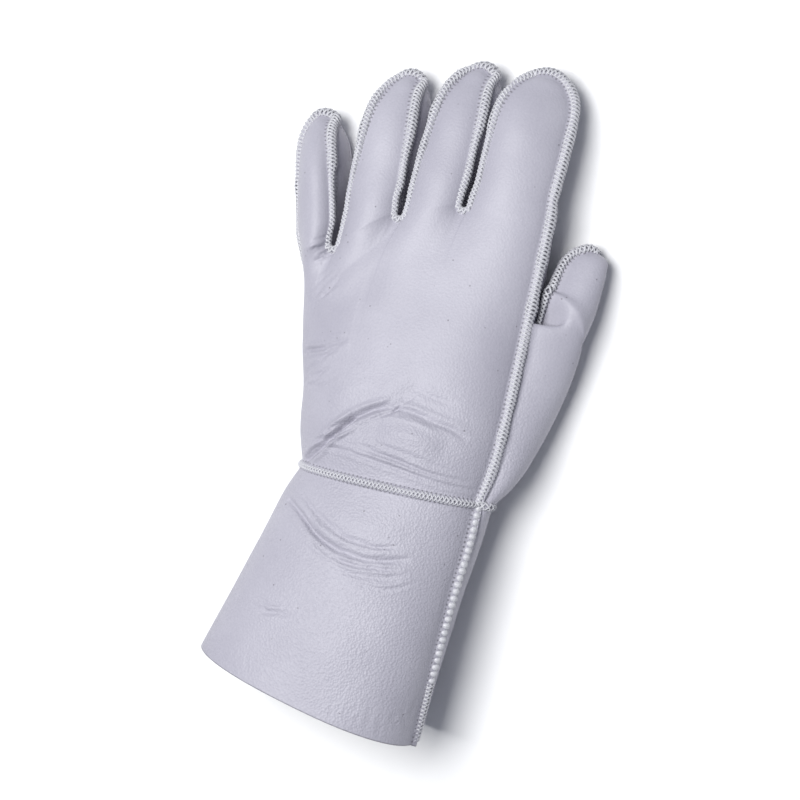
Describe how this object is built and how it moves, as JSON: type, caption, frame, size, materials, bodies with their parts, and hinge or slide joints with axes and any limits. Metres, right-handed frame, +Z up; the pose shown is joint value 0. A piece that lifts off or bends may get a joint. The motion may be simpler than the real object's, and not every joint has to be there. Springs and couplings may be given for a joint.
{
  "type": "shearling glove",
  "caption": "Fingered shearling glove with a long flared cuff, leather outside and deep wool inside, with outseams sewn over its edges, lying palm down.",
  "frame": {"origin": "centre of the glove's bounding box, on the surface that it lies on", "axes": "+Y from the hem of the cuff to the fingertips, +X to the thumb's side, +Z up from the palm to the back of the hand"},
  "size_m": [0.1692, 0.331, 0.071],
  "materials": {
    "leather": "satin, finely pored",
    "thread": "slightly shiny twisted thread",
    "wool": "soft, deep, in loose locks"
  },
  "bodies": {
    "root": {"back_panel": "leather", "palm_panel": "leather", "fourchette_little_ring": "leather", "fourchette_ring_middle": "leather", "fourchette_middle_index": "leather", "thumb_outer": "leather", "thumb_inner": "leather", "cuff": "leather", "cuff_fleece": "wool", "hand_fleece": "wool"}
  },
  "joints": []
}
